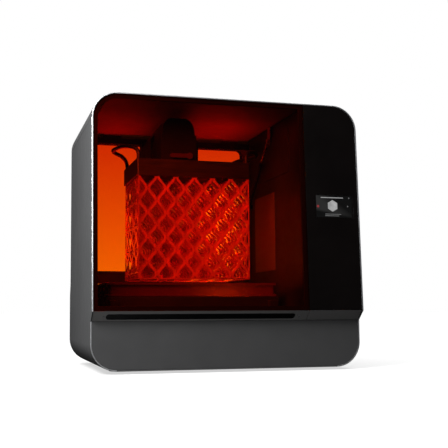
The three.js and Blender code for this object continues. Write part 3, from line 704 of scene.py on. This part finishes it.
def display():
    """A plain status page: a title line, a solid icon, two text lines, two arrows and a warning dot."""
    low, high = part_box("touchscreen")

    def at(u, v):
        return low.x + u * (high.x - low.x), low.z + v * (high.z - low.z)

    def add(name, shapes, material, sink=PAGE_SINK):
        bm = bmesh.new()
        for points in shapes:
            slab(bm, points, sink)
        bmesh.ops.recalc_face_normals(bm, faces=bm.faces[:])
        soften(piece(name, bm, material, "printer_body"), 0)

    page = [at(u, v) for u, v in ((0.03, 0.03), (0.97, 0.03), (0.97, 0.97), (0.03, 0.97))]
    add("screen_page", [page], page_paint(low, high), PAGE_SINK + MARK_RISE)
    title = rectangle(*at(0.45, 0.88), 68 * MM, 2.6 * MM)
    add("screen_title", [title], lit("title_light", (0.8, 0.8, 0.8), 0.36))
    lines = [rectangle(*at(0.47, 0.17), 48 * MM, 1.8 * MM), rectangle(*at(0.44, 0.10), 42 * MM, 1.8 * MM)]
    add("screen_text", lines, lit("text_light", (0.7, 0.7, 0.7), 0.17))
    icon = ring_points(*at(0.46, 0.53), 16.5 * MM, 6, math.radians(90))
    add("screen_icon", [icon], lit("icon_light", (0.6, 0.6, 0.6), 0.62, 0.25))
    arrows = [ring_points(*at(u, v), 2.8 * MM, 3) for u, v in ((0.9, 0.88), (0.86, 0.52))]
    add("screen_arrows", arrows, lit("arrow_light", (0.6, 0.6, 0.6), 0.24))
    dot = ring_points(*at(0.075, 0.5), 3.6 * MM, 16)
    add("screen_dot", [dot], lit("dot_light", (0.8, 0.05, 0.06), 0.26))


display()

# ---------------------------------------------------------------- studio
CAMERA_PLACE = Vector((-0.6554, -2.2749, 0.1653))
YAW, PITCH, ROLL = (math.radians(a) for a in (14.15, 5.12, -0.25))
LENS, SENSOR = 63.34, 36
SHIFT = (0.0982, 0.0357)
# Strength of the surroundings: behind and level, behind and overhead, and everywhere besides.
AROUND_LOW, AROUND_HIGH, AROUND_REST = 0.06, 0.35, 0.02
FLOOR_GREY, FLOOR_GLOW = 0.45, 0.62


def add_camera():
    scene = bpy.context.scene
    forward = Vector((math.sin(YAW) * math.cos(PITCH), math.cos(YAW) * math.cos(PITCH), math.sin(PITCH)))
    level = Vector((math.cos(YAW), -math.sin(YAW), 0))
    upright = level.cross(forward)
    right = level * math.cos(ROLL) + upright * math.sin(ROLL)
    up = upright * math.cos(ROLL) - level * math.sin(ROLL)
    data = bpy.data.cameras.new("camera")
    data.sensor_width = SENSOR
    data.lens = LENS
    data.shift_x, data.shift_y = SHIFT
    data.clip_start, data.clip_end = 0.05, 100
    camera = bpy.data.objects.new("camera", data)
    turn = Matrix((right, up, -forward)).transposed().to_4x4()
    camera.matrix_world = Matrix.Translation(CAMERA_PLACE) @ turn
    scene.collection.objects.link(camera)
    scene.camera = camera


def add_surroundings():
    """White behind the object; what lights it is dim, brightest overhead and behind."""
    scene = bpy.context.scene
    scene.view_settings.view_transform = "Standard"
    world = bpy.data.worlds.new("studio")
    scene.world = world
    world.use_nodes = True
    nodes, link = world.node_tree.nodes, world.node_tree.links.new
    nodes.clear()
    out = nodes.new("ShaderNodeOutputWorld")
    white = nodes.new("ShaderNodeBackground")
    white.inputs["Color"].default_value = (1, 1, 1, 1)
    place = nodes.new("ShaderNodeTexCoord")
    split = nodes.new("ShaderNodeSeparateXYZ")
    rise = nodes.new("ShaderNodeMapRange")
    rise.inputs["To Min"].default_value = AROUND_LOW
    rise.inputs["To Max"].default_value = AROUND_HIGH
    back = nodes.new("ShaderNodeMapRange")
    back.inputs["From Min"].default_value = -0.9
    product = nodes.new("ShaderNodeMath")
    product.operation = "MULTIPLY_ADD"
    product.inputs[2].default_value = AROUND_REST
    around = nodes.new("ShaderNodeBackground")
    path = nodes.new("ShaderNodeLightPath")
    mix = nodes.new("ShaderNodeMixShader")
    link(place.outputs["Generated"], split.inputs[0])
    link(split.outputs["Z"], rise.inputs["Value"])
    link(split.outputs["Y"], back.inputs["Value"])
    link(rise.outputs[0], product.inputs[0])
    link(back.outputs[0], product.inputs[1])
    link(product.outputs[0], around.inputs["Strength"])
    link(path.outputs["Is Camera Ray"], mix.inputs[0])
    link(around.outputs[0], mix.inputs[1])
    link(white.outputs[0], mix.inputs[2])
    link(mix.outputs[0], out.inputs["Surface"])


def add_floor():
    bm = bmesh.new()
    bmesh.ops.create_grid(bm, x_segments=1, y_segments=1, size=40)
    mesh = bpy.data.meshes.new("studio_floor")
    bm.to_mesh(mesh)
    bm.free()
    paint = Paint("studio_floor")
    matt = paint.node("ShaderNodeBsdfDiffuse", {"Color": (FLOOR_GREY, FLOOR_GREY, FLOOR_GREY, 1)}).outputs[0]
    glow = paint.node("ShaderNodeEmission", {"Color": (1, 1, 1, 1), "Strength": FLOOR_GLOW}).outputs[0]
    mesh.materials.append(paint.finish(paint.node("ShaderNodeAddShader", {0: matt, 1: glow}).outputs[0]))
    obj = bpy.data.objects.new("studio_floor", mesh)
    obj.visible_diffuse = False
    obj.visible_glossy = False
    bpy.context.scene.collection.objects.link(obj)


def softbox(name, place, target, size, watts, colour, shines_on):
    """A soft light that the camera doesn't see, on everything or on the named objects alone."""
    data = bpy.data.lights.new(name, "AREA")
    data.shape = "RECTANGLE"
    data.size, data.size_y = size
    data.energy = watts
    data.color = colour
    obj = bpy.data.objects.new(name, data)
    obj.location = place
    obj.rotation_euler = (Vector(target) - Vector(place)).to_track_quat("-Z", "Y").to_euler()
    obj.visible_camera = False
    bpy.context.scene.collection.objects.link(obj)
    if shines_on:
        lit_objects = bpy.data.collections.new(name + "_receivers")
        obj.light_linking.receiver_collection = lit_objects
        for lit_name in shines_on:
            lit_objects.objects.link(NODES.get(lit_name) or bpy.data.objects[lit_name])


def overhead_sun():
    sun = bpy.data.lights.new("overhead", "SUN")
    sun.energy = 2.6
    sun.angle = math.radians(80)
    bpy.context.scene.collection.objects.link(bpy.data.objects.new("overhead", sun))


WHITE = (1.0, 1.0, 1.0)
RED = (1.0, 0.01, 0.002)
ORANGE = (1.0, 0.2, 0.02)
AMBER = (1.0, 0.85, 0.08)

SIDE = ["left_side_panel", "hood_skin"]
REAR = ["left_side_panel", "right_side_panel", "hood_skin", "column_rear_panel", "rear_upper_frame",
        "rear_lower_cover", "cartridge_bay", "bottom_pan", "resin_cartridge_left", "resin_cartridge_right",
        "power_inlet", "switch_housing", "rocker_switch", "fan_frame", "fan_rotor"]
BARS = ["handle_bar", "column_bar", "bar_screws"]
PRINT = ["lattice_print", "lattice_frame"]
ROOF = ["hood_liner", "rear_upper_frame", "hinge_bracket_left", "hinge_bracket_right"]
CHAMBER = [name for name in NODES if name not in ("printed_lattice", "front_window", "rear_window")]

# Name, place, what it faces, width and height, watts, colour, and what it shines on.
SOFTBOXES = [
    ("side_kick", (-0.75, -0.75, 0.62), (-0.38, -0.25, 0.5), (0.3, 0.5), 5.2, WHITE, SIDE),
    ("back_fill", (0.5, 1.9, 1.3), (0, 0.2, 0.35), (1.2, 1.2), 34, WHITE, REAR),
    ("bar_kick", (-0.55, -1.2, 0.06), (-0.1, -0.25, 0.15), (0.5, 0.08), 4.4, WHITE, BARS),
    ("tank_kick", (0.14, -0.55, 0.19), (0.1, -0.14, 0.22), (0.12, 0.06), 0.8, WHITE, ["resin_tank"]),
    ("glow_left", (-0.255, 0.232, 0.4), (-0.255, -1, 0.9), (0.17, 0.20), 1.0, RED, CHAMBER),
    ("glow_print_left", (-0.255, 0.232, 0.4), (-0.255, -1, 0.9), (0.17, 0.20), 0.5, ORANGE, PRINT),
    ("glow_print_right", (0.06, 0.232, 0.4), (0.03, -1, 0.6), (0.2, 0.24), 4.4, AMBER, PRINT),
    ("glow_roof_left", (-0.265, 0.09, 0.63), (-0.265, 0.091, 1), (0.17, 0.25), 0.28, RED, ROOF),
    ("glow_roof_rear", (-0.25, 0.185, 0.655), (-0.25, 0.186, 1), (0.15, 0.09), 0.27, RED, ROOF),
    ("glow_roof_right", (0.05, 0.105, 0.655), (0.05, 0.106, 1), (0.2, 0.24), 0.88, RED, ROOF),
]

add_camera()
add_surroundings()
add_floor()
softbox("key", (-1.1, -1.1, 1.2), (-0.3, -0.1, 0.35), (0.8, 0.8), 46, WHITE, None)
overhead_sun()
for light in SOFTBOXES:
    softbox(*light)
